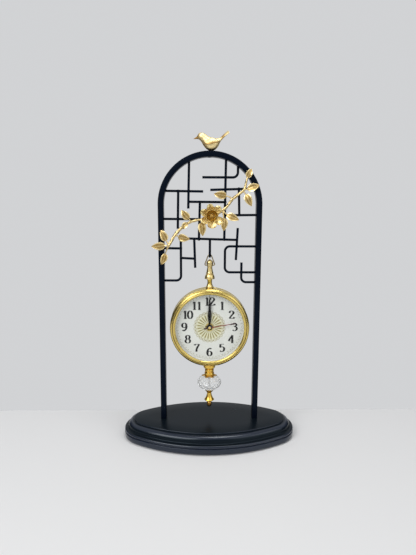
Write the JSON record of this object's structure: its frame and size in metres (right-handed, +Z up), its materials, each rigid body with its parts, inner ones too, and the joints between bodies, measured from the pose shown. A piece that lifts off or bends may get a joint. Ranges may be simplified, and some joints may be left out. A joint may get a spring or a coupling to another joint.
{
  "type": "desk pendulum clock",
  "caption": "Round gold clock with a cut crystal finial that hangs by a wire bow from a black rod lattice inside an arch on an oval base, with a gold branch, flower and bird",
  "frame": {"origin": "on the table under the middle of the oval base", "axes": "+Z up, +X to the right when the dial is looked at, the dial faces -Y"},
  "size_m": [0.222, 0.109, 0.386],
  "materials": {
    "black_board": "satin",
    "pad_rubber": "matte",
    "steel": "satin",
    "black_iron": "satin",
    "old_gold": "satin",
    "bright_gold": "satin",
    "case_gold": "polished",
    "lens_glass": "polished",
    "crystal": "polished",
    "dial_white": "matte",
    "hand_black": "satin",
    "hand_brown": "satin",
    "black_plastic": "matte",
    "wheel_white": "satin",
    "board_green": "satin",
    "coil_copper": "satin",
    "cell_jacket": "satin"
  },
  "bodies": {
    "stand": {"base": "black_board", "base_pads": "pad_rubber", "leg_screws": "steel", "leg_washers": "steel", "arch_frame": "black_iron", "lattice_uprights": "black_iron", "lattice_crossbars": "black_iron", "lattice_top_bend": "black_iron", "lattice_left_bend": "black_iron", "lattice_right_bend": "black_iron", "lattice_right_loop": "black_iron", "hanger_rod": "black_iron", "branch_stem": "old_gold", "branch_leaves": "old_gold", "flower_outer_petals": "old_gold", "flower_inner_petals": "old_gold", "flower_centre": "old_gold", "bird": "bright_gold", "bird_screw": "steel"},
    "bow": {"hanging_bow": "bright_gold"},
    "clock": {"crown_knob": "bright_gold", "pendant_cap": "bright_gold", "pendant_stem": "bright_gold", "case_ring": "case_gold", "bezel": "case_gold", "lens": "lens_glass", "dial": "dial_white", "spacer_ring": "black_plastic", "rear_cover": "black_plastic", "rear_cover_screws": "steel", "movement_housing": "black_plastic", "movement_lid": "black_plastic", "centre_nut": "case_gold", "dial_washer": "case_gold", "circuit_board": "board_green", "coil": "coil_copper", "stator": "steel", "cell": "cell_jacket", "cell_contacts": "steel", "finial_collar": "bright_gold", "finial_cup": "bright_gold", "crystal_bead": "crystal", "finial_tip": "bright_gold", "tie_rod": "steel"},
    "minute": {"minute_wheel": "wheel_white", "minute_hand": "hand_black"},
    "hour": {"hour_wheel": "wheel_white", "hour_hand": "hand_black"},
    "second": {"second_wheel": "wheel_white", "second_hand": "hand_brown"},
    "third": {"third_wheel": "wheel_white"},
    "motion": {"motion_wheel": "wheel_white", "set_knob": "black_plastic"},
    "intermediate": {"intermediate_wheel": "wheel_white"},
    "rotor": {"rotor": "wheel_white"}
  },
  "joints": [
    {"name": "minute_turn", "type": "hinge", "parent": "clock", "child": "minute", "pos_m": [0, -0.0004, 0.1459], "axis": [0, 1, 0], "continuous": true},
    {"name": "bow_swing", "type": "hinge", "parent": "stand", "child": "bow", "pos_m": [0, 0.00125, 0.2358], "axis": [0, 1, 0], "range_deg": [-3.5, 3.5]},
    {"name": "clock_tilt", "type": "hinge", "parent": "bow", "child": "clock", "pos_m": [0, 0.00125, 0.2249], "axis": [1, 0, 0], "range_deg": [-25, 25]},
    {"name": "hour_turn", "type": "hinge", "parent": "clock", "child": "hour", "pos_m": [0, -0.0004, 0.1459], "axis": [0, 1, 0], "continuous": true},
    {"name": "second_turn", "type": "hinge", "parent": "clock", "child": "second", "pos_m": [0, -0.0004, 0.1459], "axis": [0, 1, 0], "continuous": true},
    {"name": "third_turn", "type": "hinge", "parent": "clock", "child": "third", "pos_m": [-0.009, -0.0004, 0.1459], "axis": [0, 1, 0], "continuous": true},
    {"name": "motion_turn", "type": "hinge", "parent": "clock", "child": "motion", "pos_m": [0.00831, -0.0004, 0.1507], "axis": [0, 1, 0], "continuous": true},
    {"name": "intermediate_turn", "type": "hinge", "parent": "clock", "child": "intermediate", "pos_m": [0, -0.0004, 0.15465], "axis": [0, 1, 0], "continuous": true},
    {"name": "rotor_turn", "type": "hinge", "parent": "clock", "child": "rotor", "pos_m": [0, -0.0004, 0.16065], "axis": [0, 1, 0], "continuous": true}
  ],
  "couplings": [
    {"joint": "hour_turn", "follows": "minute_turn", "ratio": 0.083333},
    {"joint": "motion_turn", "follows": "minute_turn", "ratio": -0.33333},
    {"joint": "third_turn", "follows": "minute_turn", "ratio": -7.5},
    {"joint": "second_turn", "follows": "minute_turn", "ratio": 60},
    {"joint": "intermediate_turn", "follows": "minute_turn", "ratio": -360},
    {"joint": "rotor_turn", "follows": "minute_turn", "ratio": 1800}
  ]
}
